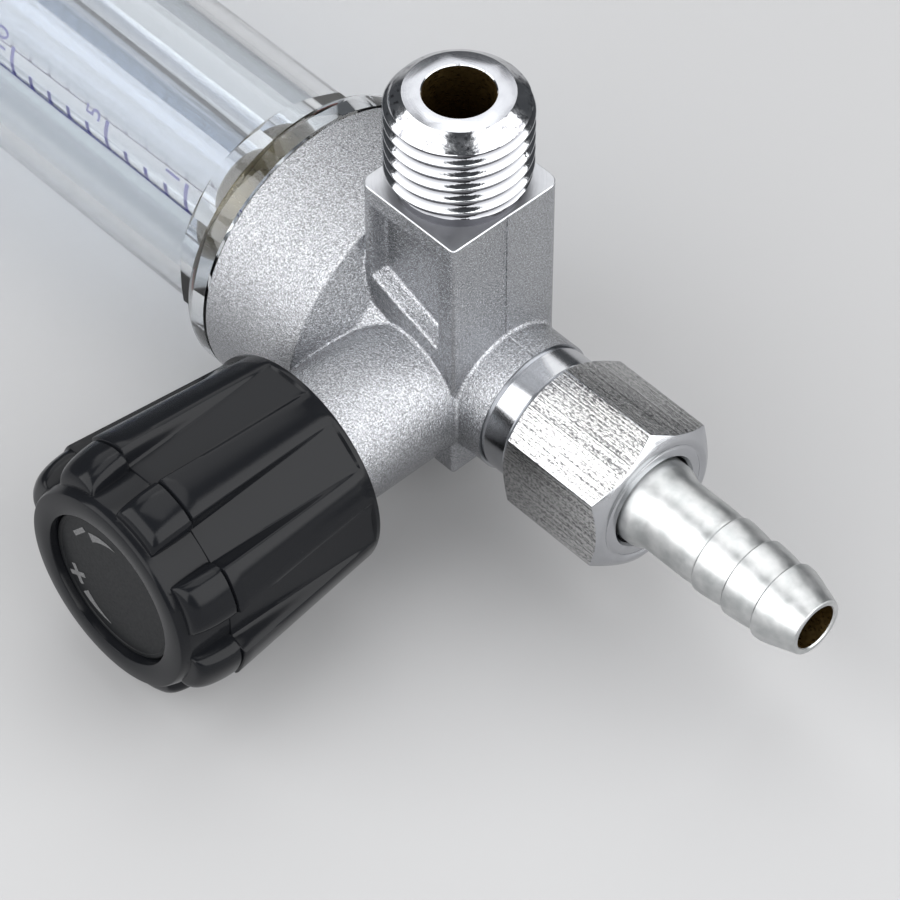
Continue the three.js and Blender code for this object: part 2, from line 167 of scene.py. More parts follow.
def turned(name, axis, profile, sides=160):
    """Turned solid from (place along the axis, radius) points. A profile whose first and last
    points match is a ring; any other is capped flat at both ends."""
    closed = profile[0] == profile[-1]
    points = profile[:-1] if closed else profile
    rings = []
    for along, radius in points:
        rings.append([on_axis(axis, along, radius * math.cos(TAU * j / sides),
                              radius * math.sin(TAU * j / sides)) for j in range(sides)])
    return rings_mesh(name, rings, closed)


def tube_profile(start, end, inner, outer, edge=0.1):
    """Ring profile with small chamfers on the outer edges."""
    step = math.copysign(edge, end - start)
    return [(start, inner), (start, outer - edge), (start + step, outer), (end - step, outer),
            (end, outer - edge), (end, inner), (start, inner)]


def box_mesh(name, x, y, z):
    """Box from its lowest and highest place on each axis."""
    corners = [(a, b, c) for a in x for b in y for c in z]
    faces = [(0, 1, 3, 2), (4, 6, 7, 5), (0, 4, 5, 1), (2, 3, 7, 6), (0, 2, 6, 4), (1, 5, 7, 3)]
    return add_mesh(name, corners, faces)


def prism(name, axis, start, end, radius, corners, phase):
    """Regular prism; the phase is the angle of its first corner."""
    def ring(along):
        return [on_axis(axis, along, radius * math.cos(phase + TAU * j / corners),
                        radius * math.sin(phase + TAU * j / corners)) for j in range(corners)]
    return rings_mesh(name, [ring(start), ring(end)], False)


def apply_modifiers(obj):
    bpy.context.view_layer.update()
    graph = bpy.context.evaluated_depsgraph_get()
    mesh = bpy.data.meshes.new_from_object(obj.evaluated_get(graph))
    obj.modifiers.clear()
    old = obj.data
    obj.data = mesh
    bpy.data.meshes.remove(old)
    return obj


def combine(target, tool, operation):
    """Boolean of two closed meshes; the tool is used up."""
    mod = target.modifiers.new("combine", "BOOLEAN")
    mod.operation = operation
    mod.object = tool
    mod.solver = "MANIFOLD"
    apply_modifiers(target)
    bpy.data.objects.remove(tool)
    return target


def joined(first, *others):
    for other in others:
        combine(first, other, "UNION")
    return first


def cut(first, *tools):
    for tool in tools:
        combine(first, tool, "DIFFERENCE")
    return first


def soften(obj, voxel, rounds):
    """Rounds every edge, as on a casting: a fine remesh, then smoothing."""
    mod = obj.modifiers.new("remesh", "REMESH")
    mod.mode = "VOXEL"
    mod.voxel_size = voxel
    smooth = obj.modifiers.new("smooth", "SMOOTH")
    smooth.factor = 0.5
    smooth.iterations = rounds
    return apply_modifiers(obj)


def bevel(obj, width, segments, angle):
    mod = obj.modifiers.new("bevel", "BEVEL")
    mod.width = width
    mod.segments = segments
    mod.limit_method = "ANGLE"
    mod.angle_limit = math.radians(angle)
    mod.use_clamp_overlap = True
    return apply_modifiers(obj)


def shade(obj, angle):
    mesh = obj.data
    for polygon in mesh.polygons:
        polygon.use_smooth = True
    mesh.set_sharp_from_angle(angle=math.radians(angle))


def paint(obj, materials, choose):
    """Gives each face the material that choose(centre, normal) returns, or without it the first one."""
    numbers = {material: number for number, material in enumerate(materials)}
    obj.data.materials.clear()
    for material in materials:
        obj.data.materials.append(material)
    for polygon in obj.data.polygons:
        polygon.material_index = numbers[choose(polygon.center, polygon.normal)] if choose else 0


def finish_piece(obj, body, node, slot, *materials, choose=None, angle=30):
    """Paints a piece, places it in the frame, hangs it on the body it rides on and hides the CAD node it
    stands for.
    """
    paint(obj, materials, choose)
    obj.data.transform(Matrix.Translation(ORIGIN) @ Matrix.Scale(MM, 4))
    shade(obj, angle)
    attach(obj, body)
    if node:
        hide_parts(node)


def plain(name, node, body, axis, profile, material, slot, sides=96, angle=30):
    """A turned piece in one material."""
    finish_piece(turned(name, axis, profile, sides), body, node, slot, material, angle=angle)


# ---- materials: texture scales in cycles a metre, bump distances in metres


class Graph:
    """Small helper that adds and links shader nodes."""

    def __init__(self, name):
        self.material = bpy.data.materials.new(name)
        self.material.use_nodes = True
        self.tree = self.material.node_tree
        self.shader = self.tree.nodes["Principled BSDF"]
        self.output = self.tree.nodes["Material Output"]
        shift = self.tree.nodes.new("ShaderNodeVectorMath")
        shift.operation = "SUBTRACT"
        self.put(shift.inputs[0], self.tree.nodes.new("ShaderNodeTexCoord").outputs["Object"])
        self.put(shift.inputs[1], ORIGIN)
        self.coords = shift.outputs["Vector"]

    def add(self, kind, **inputs):
        node = self.tree.nodes.new(kind)
        for key, value in inputs.items():
            self.put(node.inputs[key.replace("_", " ")], value)
        return node

    def put(self, socket, value):
        if isinstance(value, bpy.types.NodeSocket):
            self.tree.links.new(value, socket)
        else:
            socket.default_value = value

    def set(self, **inputs):
        for key, value in inputs.items():
            self.put(self.shader.inputs[key.replace("_", " ")], value)

    def stretched(self, x, y, z):
        node = self.tree.nodes.new("ShaderNodeMapping")
        self.put(node.inputs["Vector"], self.coords)
        node.inputs["Scale"].default_value = (x, y, z)
        return node.outputs["Vector"]

    def noise(self, scale, detail=2.0, vector=None, roughness=0.5):
        node = self.add("ShaderNodeTexNoise", Scale=scale, Detail=detail, Roughness=roughness)
        self.put(node.inputs["Vector"], vector or self.coords)
        return node.outputs["Fac"]

    def from_axis(self, axis):
        flat = self.stretched(*(0.0 if name == axis else 1.0 for name in "xyz"))
        length = self.tree.nodes.new("ShaderNodeVectorMath")
        length.operation = "LENGTH"
        self.put(length.inputs[0], flat)
        return length.outputs["Value"]

    def rings(self, axis, scale):
        """Noise that changes only with the distance from an axis: marks of a facing cut."""
        node = self.add("ShaderNodeTexNoise", Scale=scale, Detail=2.0)
        node.noise_dimensions = "1D"
        self.put(node.inputs["W"], self.from_axis(axis))
        return node.outputs["Fac"]

    def ramp(self, value, low, high, to_low=0.0, to_high=1.0):
        node = self.tree.nodes.new("ShaderNodeMapRange")
        for key, number in (("Value", value), ("From Min", low), ("From Max", high),
                            ("To Min", to_low), ("To Max", to_high)):
            self.put(node.inputs[key], number)
        return node.outputs["Result"]

    def mix(self, factor, dark, light):
        node = self.tree.nodes.new("ShaderNodeMix")
        node.data_type = "RGBA"
        self.put(node.inputs["Factor"], factor)
        colours = [s for s in node.inputs if s.type == "RGBA"]
        self.put(colours[0], (*dark, 1.0))
        self.put(colours[1], (*light, 1.0))
        return [s for s in node.outputs if s.type == "RGBA"][0]

    def math(self, operation, a, b):
        node = self.tree.nodes.new("ShaderNodeMath")
        node.operation = operation
        self.put(node.inputs[0], a)
        self.put(node.inputs[1], b)
        return node.outputs[0]

    def bump(self, height, distance, strength=1.0, under=None):
        node = self.add("ShaderNodeBump", Height=height, Distance=distance, Strength=strength)
        if under:
            self.put(node.inputs["Normal"], under)
        return node.outputs["Normal"]


def pearl_chrome():
    """Satin plating over a fine blasted forging: every grain glints on its own."""
    g = Graph("pearl_chrome")
    grain = g.noise(6200, 3, roughness=0.7)
    speck = g.noise(5200, 3, roughness=0.75)
    swell = g.noise(420, 2)
    tone = g.mix(g.ramp(speck, 0.36, 0.62), (0.22, 0.225, 0.235), (0.54, 0.55, 0.575))
    normal = g.bump(swell, 0.00004, 0.5)
    g.set(Metallic=1.0, Base_Color=tone, Roughness=g.ramp(speck, 0.3, 0.7, 0.14, 0.26),
          Normal=g.bump(grain, 0.00011, 0.95, normal))
    return g.material


def mirror_chrome():
    """Bright plating of machined edges, knocked about: small dark nicks and duller patches."""
    g = Graph("mirror_chrome")
    marks = g.noise(900, 3)
    nicks = g.ramp(g.noise(1500, 5, roughness=0.65), 0.54, 0.64)
    tone = g.mix(nicks, (0.52, 0.53, 0.55), (0.18, 0.18, 0.195))
    g.set(Metallic=1.0, Base_Color=tone, Roughness=g.ramp(marks, 0.3, 0.7, 0.07, 0.2),
          Normal=g.bump(marks, 0.00005, 0.6))
    return g.material


def thread_chrome():
    """Bright plating over the inlet thread; painted shade darkens the roots, in place of the shade and dark
    reflections there.
    """
    g = Graph("thread_chrome")
    marks = g.noise(1300, 3)
    outer = INLET_R * MM
    # Painted shade: the colour darkens towards the thread roots, going by the distance from the inlet's axis.
    root = g.ramp(g.from_axis("z"), outer - THREAD_DEPTH * MM, outer - 0.3 * THREAD_DEPTH * MM)
    root_painted_shade = g.mix(root, (0.11, 0.11, 0.12), (0.47, 0.48, 0.50))
    g.set(Metallic=1.0, Base_Color=root_painted_shade, Roughness=g.ramp(marks, 0.3, 0.7, 0.05, 0.16),
          Normal=g.bump(marks, 0.00004, 0.6))
    return g.material


def turned_chrome(axis, tint, rough):
    """Plated turned surface: fine marks round an axis, on the sides and on faces alike."""
    g = Graph("turned_chrome_" + axis)
    along = [300.0, 300.0, 300.0]
    along["xyz".index(axis)] = 12000.0
    sides = g.noise(1.0, 3, g.stretched(*along))
    faces = g.rings(axis, 9000)
    marks = g.math("ADD", sides, faces)
    patches = g.noise(700, 3)
    tone = g.mix(patches, tuple(0.82 * c for c in tint), tint)
    g.set(Metallic=1.0, Base_Color=tone, Roughness=g.ramp(marks, 0.6, 1.4, rough * 0.7, rough * 1.4),
          Normal=g.bump(marks, 0.00001, 0.7))
    return g.material


def sealing_face():
    """Flat faced ring of the inlet: pale satin with faint concentric tool marks."""
    g = Graph("sealing_face")
    marks = g.rings("z", 12000)
    tone = g.mix(g.noise(1100, 3), (0.43, 0.44, 0.47), (0.52, 0.53, 0.56))
    g.set(Metallic=1.0, Base_Color=tone, Roughness=0.26, Normal=g.bump(marks, 0.00001, 0.6))
    return g.material


def raw_brass(name, dark, light):
    """Unplated brass, dulled by handling and oil."""
    g = Graph(name)
    rings = g.noise(1.0, 3, g.stretched(2500, 2500, 9000))
    tone = g.mix(g.noise(900, 3), dark, light)
    g.set(Metallic=1.0, Base_Color=tone, Roughness=g.ramp(rings, 0.3, 0.7, 0.24, 0.42),
          Normal=g.bump(rings, 0.000012, 0.6))
    return g.material


def milled_chrome():
    """Bright flats of the union nut: drawn lines along the bar under mottled plating."""
    g = Graph("milled_chrome")
    lines = g.noise(1.0, 2, g.stretched(60, 7500, 7500))
    flecks = g.noise(1.0, 3, g.stretched(2900, 7400, 7400), 0.7)
    marks = g.math("ADD", g.math("MULTIPLY", flecks, 0.65), g.math("MULTIPLY", lines, 0.35))
    tone = g.mix(g.ramp(marks, 0.41, 0.54), (0.075, 0.075, 0.08), (0.62, 0.62, 0.615))
    normal = g.bump(lines, 0.00003, 1.0)
    g.set(Metallic=1.0, Base_Color=tone, Roughness=g.ramp(flecks, 0.3, 0.7, 0.10, 0.24),
          Normal=g.bump(flecks, 0.00003, 0.8, normal))
    return g.material


def nickel():
    """Hose tail: satin nickel, turned, with small handling marks."""
    g = Graph("nickel")
    rings = g.noise(1.0, 3, g.stretched(9000, 500, 500))
    dull = g.noise(650, 4)
    dents = g.noise(1.0, 2, g.stretched(160, 520, 520))
    tone = g.mix(g.ramp(dull, 0.35, 0.7), (0.42, 0.435, 0.435), (0.57, 0.575, 0.575))
    normal = g.bump(dents, 0.00003, 0.4)
    g.set(Metallic=1.0, Base_Color=tone, Roughness=g.ramp(dull, 0.3, 0.7, 0.33, 0.43),
          Normal=g.bump(rings, 0.00001, 0.6, normal))
    return g.material


def black_gloss():
    """Moulded black plastic: glossy, with rub marks on the high spots and a little dust."""
    g = Graph("black_gloss")
    peel = g.noise(900, 2)
    rubs = g.ramp(g.noise(1.0, 4, g.stretched(5200, 420, 5200), 0.7), 0.56, 0.74)
    dust = g.ramp(g.noise(3000, 4, roughness=0.7), 0.70, 0.78)
    tone = g.mix(dust, (0.006, 0.0065, 0.0078), (0.03, 0.03, 0.03))
    rough = g.math("ADD", g.ramp(rubs, 0.0, 1.0, 0.17, 0.27), g.math("MULTIPLY", dust, 0.2))
    g.set(Base_Color=tone, Roughness=rough, Specular_IOR_Level=0.15, Normal=g.bump(peel, 0.000012, 0.25))
    return g.material


def satin_black():
    g = Graph("satin_black")
    grain = g.noise(4200, 3)
    tone = g.mix(g.noise(900, 3), (0.006, 0.0065, 0.007), (0.010, 0.0105, 0.0115))
    g.set(Base_Color=tone, Roughness=g.ramp(grain, 0.3, 0.7, 0.3, 0.42), Specular_IOR_Level=0.1,
          Normal=g.bump(grain, 0.000008, 0.5))
    return g.material


def worn_print(name, low, high, dark, light, rough, specular):
    """Ink or paint, unevenly worn."""
    g = Graph(name)
    wear = g.ramp(g.noise(5200, 4, roughness=0.7), low, high)
    g.set(Base_Color=g.mix(wear, dark, light), Roughness=rough, Specular_IOR_Level=specular)
    return g.material


def clear_plastic(name, tint, ior):
    """Clear moulding. Shadow rays pass through it, so that light reaches what it covers."""
    g = Graph(name)
    haze = g.noise(500, 3)
    flow = g.noise(1.0, 2, g.stretched(25, 260, 260))
    g.set(Base_Color=(*tint, 1.0), Transmission_Weight=1.0, IOR=ior,
          Roughness=g.ramp(haze, 0.35, 0.75, 0.02, 0.07),
          Normal=g.bump(flow, 0.0001, 0.25))
    path = g.tree.nodes.new("ShaderNodeLightPath")
    through = g.add("ShaderNodeBsdfTransparent", Color=(*(0.94 * c for c in tint), 1.0))
    mixer = g.tree.nodes.new("ShaderNodeMixShader")
    g.put(mixer.inputs[0], path.outputs["Is Shadow Ray"])
    g.put(mixer.inputs[1], g.shader.outputs["BSDF"])
    g.put(mixer.inputs[2], through.outputs["BSDF"])
    g.put(g.output.inputs["Surface"], mixer.outputs["Shader"])
    return g.material


def rubber(name, dark, light):
    g = Graph(name)
    grain = g.noise(3200, 3)
    g.set(Base_Color=g.mix(grain, dark, light), Roughness=g.ramp(grain, 0.3, 0.7, 0.45, 0.65),
          Normal=g.bump(grain, 0.00001, 0.5))
    return g.material


def moulded_white():
    g = Graph("moulded_white")
    grain = g.noise(2600, 3)
    tone = g.mix(g.noise(500, 2), (0.48, 0.49, 0.48), (0.60, 0.61, 0.59))
    g.set(Base_Color=tone, Roughness=g.ramp(grain, 0.3, 0.7, 0.3, 0.45), Subsurface_Weight=0.1,
          Subsurface_Radius=(0.001, 0.001, 0.001), Normal=g.bump(grain, 0.00001, 0.4))
    return g.material


def polished_steel():
    g = Graph("polished_steel")
    smear = g.noise(1500, 3)
    tone = g.mix(smear, (0.40, 0.41, 0.425), (0.53, 0.54, 0.555))
    g.set(Metallic=1.0, Base_Color=tone, Roughness=g.ramp(smear, 0.3, 0.7, 0.08, 0.2))
    return g.material


PEARL = pearl_chrome()
MIRROR = mirror_chrome()
THREAD = thread_chrome()
TURNED_X = turned_chrome("x", (0.50, 0.51, 0.53), 0.18)
TURNED_Z = turned_chrome("z", (0.52, 0.53, 0.555), 0.42)
SEAL_FACE = sealing_face()
BRASS = raw_brass("raw_brass", (0.17, 0.11, 0.038), (0.36, 0.255, 0.105))
DARK_BRASS = raw_brass("dark_brass", (0.035, 0.031, 0.021), (0.12, 0.10, 0.062))
MILLED = milled_chrome()
NICKEL = nickel()
BLACK = black_gloss()
SATIN_BLACK = satin_black()
PRINT = worn_print("pale_print", 0.35, 0.65, (0.055, 0.055, 0.056), (0.125, 0.126, 0.128), 0.55, 0.5)
INK = worn_print("blue_ink", 0.3, 0.7, (0.004, 0.005, 0.062), (0.009, 0.011, 0.135), 0.8, 0.1)
CLEAR_COVER = clear_plastic("clear_cover", (0.90, 0.925, 0.945), 1.49)
CLEAR_TUBE = clear_plastic("clear_tube", (0.84, 0.865, 0.91), 1.35)
RED_RUBBER = rubber("red_rubber", (0.34, 0.055, 0.024), (0.44, 0.085, 0.04))
BLACK_RUBBER = rubber("black_rubber", (0.012, 0.012, 0.012), (0.025, 0.025, 0.026))
WHITE = moulded_white()
STEEL = polished_steel()


# ---- valve body


def pocket(side):
    """Cutter for the shallow pocket in the block's -Y or +Y side: square at the rear, one rounded corner,
    a slanting lower wall, and walls that lean out with the draft of the forging."""
    face = BLOCK_Y[0] if side < 0 else BLOCK_Y[1]
    depth, above, draft = 1.7, 1.0, math.tan(math.radians(11))
    corner_r, low_rear, low_front, low_lean = 1.5, 11.5, 8.3, 1.2
    rings = []
    for y, inset in ((face - side * depth, depth * draft), (face + side * above, -above * draft)):
        rear, top, front = -4.6 + inset, 20.6 - inset, 4.4 - inset
        outline = [(rear, low_rear + low_lean * inset), (rear, top)]
        for k in range(9):
            angle = math.radians(90 - 90 * k / 8)
            outline.append((front - corner_r + corner_r * math.cos(angle),
                            top - corner_r + corner_r * math.sin(angle)))
        outline.append((front, low_front + low_lean * inset))
        rings.append([(x, y, z) for x, z in outline])
    return rings_mesh("pocket", rings, False)


def gusset():
    """Small web in the corner between the block and the needle-valve neck."""
    points = [(-4.6, -6.6, 8.2), (-4.6, -8.8, 5.9), (-1.5, -6.6, 7.1), (-4.0, -5.0, 3.0)]
    return add_mesh("gusset", points, [(0, 1, 2), (0, 3, 1), (0, 2, 3), (1, 3, 2)])


def block_ring(inset, z):
    """Outline of the inlet block at a height, with rounded corners, moved in by an inset."""
    (x0, x1), (y0, y1) = BLOCK_X, BLOCK_Y
    corners = ((x0, y0, 180), (x1, y0, 270), (x1, y1, 0), (x0, y1, 90))
    ring = []
    for (x, y, start), radius in zip(corners, BLOCK_ROUND):
        inward_x, inward_y = (1 if x < 0 else -1), (1 if y < 0 else -1)
        round_r = radius - inset
        for k in range(7):
            angle = math.radians(start + 15 * k)
            ring.append((x + inward_x * radius + round_r * math.cos(angle),
                         y + inward_y * radius + round_r * math.sin(angle), z))
    return ring


def rough_forging():
    """The forging before machining: every outside edge and inside corner is rounded."""
    spare = 0.8  # length past each face, which machining takes off
    base = turned("forging", "x", [
        (BODY_X[0] - spare, BASE_R), (BASE_FRONT, BASE_R), (BASE_CONE[0], BASE_CONE[1]),
        (0, BASE_CONE[1] - 1),
    ], 128)
    joined(
        base,
        rings_mesh("block", [block_ring(0, -7.4), block_ring(0, BLOCK_TOP + 0.1)], False),
        turned("neck", "y", [(0, NECK_R), (BODY_Y[0] - spare, NECK_R)], 128),
        turned("outlet_neck", "x", [(0, OUTLET_NECK_R), (OUTLET_NECK_END + spare, OUTLET_NECK_R)], 128),
        gusset(),
    )
    cut(base, pocket(-1), pocket(1))
    return soften(base, voxel=0.15, rounds=3)


def flash_lines():
    """Thin raised lines where the two forging dies met, as boxes astride the plane Y = 0."""
    base_x = (BODY_X[0] + 0.2, BASE_FRONT)
    lines = [
        ((BLOCK_X[1] - 0.5, BLOCK_X[1] + 0.07), 0.09, (OUTLET_NECK_R, BLOCK_TOP - 0.05)),
        ((BLOCK_X[1], OUTLET_NECK_END - 0.05), 0.1, (OUTLET_NECK_R - 0.6, OUTLET_NECK_R + 0.06)),
        (base_x, 0.1, (BASE_R - 0.6, BASE_R + 0.05)),
        (base_x, 0.1, (-BASE_R, -BASE_R + 0.6)),
    ]
    return [box_mesh("flash", x, (-half, half), z) for x, half, z in lines]


def thread_radius(z, angle):
    """Radius of the inlet's right-hand thread, its crests and roots rounded by the plating."""
    phase = TAU * (z / INLET_PITCH - angle / TAU)
    return INLET_R - THREAD_DEPTH * (0.5 - 0.5 * math.cos(phase + 0.25 * math.sin(phase)))


def inlet_solid():
    """Relief, thread and chamfered end of the inlet, as one solid."""
    sides, steps, top = 180, 240, BODY_Z[1]
    relief_r, thread_start, lead_slope = 6.1, 23.8, 1.2
    chamfer_slope = (INLET_R - INLET_FACE_R) / CHAMFER_HEIGHT
    rows = [BLOCK_TOP - 1.0, BLOCK_TOP + 0.3]
    rows += [thread_start + (top - thread_start) * k / steps for k in range(steps + 1)]
    rings = []
    for z in rows:
        ring = []
        for j in range(sides):
            angle = TAU * j / sides
            radius = relief_r
            if z > thread_start:
                lead = relief_r + (z - thread_start) * lead_slope
                end = INLET_FACE_R + (top - z) * chamfer_slope
                radius = min(thread_radius(z, angle), lead, end)
            ring.append((radius * math.cos(angle), radius * math.sin(angle), z))
        rings.append(ring)
    return rings_mesh("inlet", rings, False)


def outlet_solid():
    """Collar and threaded end of the outlet. The nut hides the thread, so it is a plain cylinder."""
    root_r, thread_r, end = 5.6, 5.9, 19.3
    return turned("outlet", "x", [
        (OUTLET_NECK_END - 1.0, COLLAR_R - 0.25), (COLLAR_X[0], COLLAR_R - 0.25),
        (COLLAR_X[0], COLLAR_R - 0.12), (COLLAR_X[0] + 0.12, COLLAR_R), (COLLAR_X[1] - 0.15, COLLAR_R),
        (COLLAR_X[1], COLLAR_R - 0.15), (COLLAR_X[1], root_r), (14.2, root_r), (14.6, thread_r),
        (end - 0.6, thread_r), (end, 5.3),
    ])


def top_trim():
    """Cutter that faces off the block and leaves a narrow chamfer round its top."""
    lead = 0.2
    trim = box_mesh("top", (-BIG, BIG), (-BIG, BIG), (BLOCK_TOP - TOP_CHAMFER - lead / 2, BIG))
    kept = [block_ring(-lead, BLOCK_TOP - TOP_CHAMFER - lead), block_ring(TOP_CHAMFER, BLOCK_TOP)]
    return cut(trim, rings_mesh("top_faces", kept, False))


def end_trims():
    """Cutters that face off the rear and the two necks."""
    return [
        box_mesh("rear", (-BIG, BODY_X[0]), (-BIG, BIG), (-BIG, BIG)),
        box_mesh("neck_end", (-BIG, BIG), (-BIG, BODY_Y[0]), (-BIG, BIG)),
        box_mesh("outlet_end", (OUTLET_NECK_END, BIG), (-BIG, BIG), (-BIG, BIG)),
    ]


def bore(name, axis, start, end, radius, sides=48, offset=(0, 0, 0)):
    """Cutter for a straight hole, beside the axis by the offset."""
    tool = turned(name, axis, [(start, radius), (end, radius)], sides)
    tool.data.transform(Matrix.Translation(offset))
    return tool


def passages():
    """Cutters for the sockets of the cover, holder and bonnet, and for the way of the gas."""
    mouth_r = INLET_BORE_R + 0.15
    return [
        turned("socket", "x", [(BODY_X[0] - 1, SEAL_STEP[1]), SEAL_STEP, (SEAL_STEP[0], SOCKET_R),
                               (SOCKET_FLOOR, SOCKET_R)]),
        turned("inlet_bore", "z", [(INLET_BORE_FLOOR, INLET_BORE_R), (BODY_Z[1] - 0.1, INLET_BORE_R),
                                   (BODY_Z[1] + 0.05, mouth_r), (BODY_Z[1] + 1, mouth_r)]),
        bore("outlet_bore", "x", -1.2, 20, OUTLET_BORE_R, 64),
        bore("bonnet_bore", "y", -13.2, BODY_Y[0] - 1, 4.8, 64),
        bore("holder_bore", "x", -12.5, -8.0, 4.5, 64),
        bore("tube_feed", "x", -8.5, -4.9, 1.75),
        bore("valve_chamber", "y", -7.3, -13.7, 3.2, 64),
        bore("seat_hole", "y", 0, -7.8, 1.2),
        bore("inlet_drop", "z", 10.5, -1.75, 1.3, offset=(-3.6, 0, 0)),
        bore("return_hole", "x", -12.5, 0, 1.1, offset=(0, -9.9, 0)),
    ]


def body_finish(at, normal):
    """Finish of a face of the valve body, from its place and normal."""
    x, y, z = at
    from_inlet, from_tube = math.hypot(x, y), math.hypot(y, z)
    if z > BLOCK_TOP - 0.02:
        if normal.z > 0.99:
            return SEAL_FACE if z > BODY_Z[1] - 0.01 else TURNED_Z
        if from_inlet < INLET_BORE_R - 0.02:
            return BRASS
        return MIRROR if z > BODY_Z[1] - CHAMFER_HEIGHT else THREAD
    if z > BLOCK_TOP - TOP_CHAMFER and normal.z > 0.6:
        return TURNED_Z
    if from_inlet < INLET_BORE_R + 0.1 and z > INLET_BORE_FLOOR - 0.5:
        return BRASS
    if x > OUTLET_NECK_END - 0.01:
        return BRASS if from_tube < OUTLET_BORE_R + 0.1 and abs(normal.x) < 0.9 else TURNED_X
    if x < SOCKET_FLOOR + 0.5 and from_tube < SEAL_STEP[1] + 0.1:
        return BRASS
    return PEARL


def valve_body():
    body = rough_forging()
    cut(body, top_trim(), *end_trims())
    joined(body, *flash_lines(), inlet_solid(), outlet_solid())
    cut(body, *passages())
    finish_piece(body, "regulator", "valve_body", "satin_chrome", PEARL, MIRROR, SEAL_FACE, BRASS,
                 TURNED_Z, TURNED_X, THREAD, choose=body_finish, angle=38)


# ---- cover and flow tube


def outer_cover():
    dome, wall, seam = 3.2, 1.9, 0.02
    end = COVER_X[0]

    def arc(radius, centre_x, centre_r):
        return [(centre_x - radius * math.sin(math.radians(a)), centre_r + radius * math.cos(math.radians(a)))
                for a in range(0, 91, 9)]

    outside = arc(dome, end + dome, COVER_R - dome)
    inside = arc(dome - wall, end + dome, COVER_BORE_R - (dome - wall))
    cover = turned("clear_cover", "x", [
        (COVER_X[1], COVER_BORE_R), (COVER_X[1], COVER_THREAD_R), (FLANGE_X[1], COVER_THREAD_R),
        (FLANGE_X[1], FLANGE_R - 0.2), (FLANGE_X[1] - 0.2, FLANGE_R), (FLANGE_X[0] + 0.5, FLANGE_R),
        (FLANGE_X[0] + 0.15, FLANGE_R - 0.15), (FLANGE_X[0], FLANGE_R - 0.5), (FLANGE_X[0], COVER_R),
        *outside, (end, seam), (end + wall, seam), *reversed(inside), (COVER_X[1], COVER_BORE_R),
    ], 192)
    joined(cover, wrench_flats())
    finish_piece(cover, "regulator", "outer_cover", "clear_cover", CLEAR_COVER, angle=25)


def wrench_flats():
    """Eight flats beside the cover's flange, their corners turned down towards the tube."""
    corner_r, hollow_r = 12.62, COVER_BORE_R + 0.6
    flats = prism("flats", "x", FLANGE_X[0] + 0.5, WRENCH_END, WRENCH_R, 8, math.radians(180 - 33))
    combine(flats, turned("corner_cut", "x", [
        (FLANGE_X[0] + 2, WRENCH_R + 0.1), (WRENCH_END + 1.2, WRENCH_R + 0.1), (WRENCH_END, corner_r),
        (WRENCH_END - 1, corner_r - 0.9),
    ], 192), "INTERSECT")
    hollow = [(FLANGE_X[0] + 3, hollow_r), (WRENCH_END - 2, hollow_r)]
    return cut(flats, turned("hollow", "x", hollow, 96))


def flow_tube():
    inner_edge = 4.4
    plain("clear_flow_tube", "flow_tube", "regulator", "x", [
        (TUBE_X[1], TUBE_BORE_R), (TUBE_X[1], TUBE_R - 0.15), (TUBE_X[1] - 0.15, TUBE_R),
        (TUBE_X[0] + 0.2, TUBE_R), (TUBE_X[0], TUBE_R - 0.2), (TUBE_X[0], inner_edge),
        (-26.2, TUBE_BORE_R), (TUBE_X[1], TUBE_BORE_R),
    ], CLEAR_TUBE, "clear_tube", 128, 25)


# ---- printed scale

SCALE_FULL = 25  # litres per minute
SCALE_LINE = math.radians(-18)  # places round the tube, from -Y towards +Z
SHORT_TICK = math.radians(3)
LONG_TICK = math.radians(21)
DIGIT_MIDDLE = math.radians(19)
DIGIT_HEIGHT = 3.0
LINE_WIDTH = 0.3
TICK_WIDTH = 0.5
INK_R = (TUBE_R + 0.02, TUBE_R + 0.06)


def scale_place(flow):
    """Place along the tube of a flow in litres per minute; the marks close up a little as it rises."""
    return -(29.2 + 3.06 * flow - 0.010 * flow * flow)


def on_tube(x, angle, radius):
    return (x, -radius * math.cos(angle), radius * math.sin(angle))


def printed_patch(x0, x1, a0, a1, steps=6):
    """Thin curved patch of ink on the tube, as vertices and faces of a closed solid."""
    corners = ((x0, INK_R[0]), (x1, INK_R[0]), (x1, INK_R[1]), (x0, INK_R[1]))
    verts, faces = [], []
    for k in range(steps + 1):
        angle = a0 + (a1 - a0) * k / steps
        verts += [on_tube(x, angle, radius) for x, radius in corners]
    for k in range(steps):
        a, b = 4 * k, 4 * k + 4
        faces += [(a + i, a + (i + 1) % 4, b + (i + 1) % 4, b + i) for i in range(4)]
    last = 4 * steps
    faces += [(0, 1, 2, 3), (last, last + 1, last + 2, last + 3)]
    return verts, faces


def merged(name, parts):
    """One mesh of several (vertices, faces) pairs."""
    verts, faces = [], []
    for more_verts, more_faces in parts:
        shift = len(verts)
        verts += more_verts
        faces += [tuple(i + shift for i in face) for face in more_faces]
    return add_mesh(name, verts, faces)


def printed_number(text, x, angle):
    """Digits wrapped on the tube, upright when the tube stands on its inlet end."""
    curve = bpy.data.curves.new("digits", "FONT")
    curve.body = text
    curve.size = DIGIT_HEIGHT
    curve.align_x = "CENTER"
    curve.extrude = 0.5
    curve.resolution_u = 3
    obj = bpy.data.objects.new("digits", curve)
    bpy.context.scene.collection.objects.link(obj)
    bpy.context.view_layer.update()
    mesh = bpy.data.meshes.new_from_object(obj.evaluated_get(bpy.context.evaluated_depsgraph_get()))
    bpy.data.objects.remove(obj)
    slice_across(mesh, 0.25, 3.0)
    verts = []
    for vertex in mesh.vertices:
        across, up, depth = vertex.co
        radius = INK_R[1] if depth > 0 else INK_R[0]
        verts.append(on_tube(x - up, angle + across / TUBE_R, radius))
    faces = [tuple(polygon.vertices) for polygon in mesh.polygons]
    bpy.data.meshes.remove(mesh)
    return verts, faces


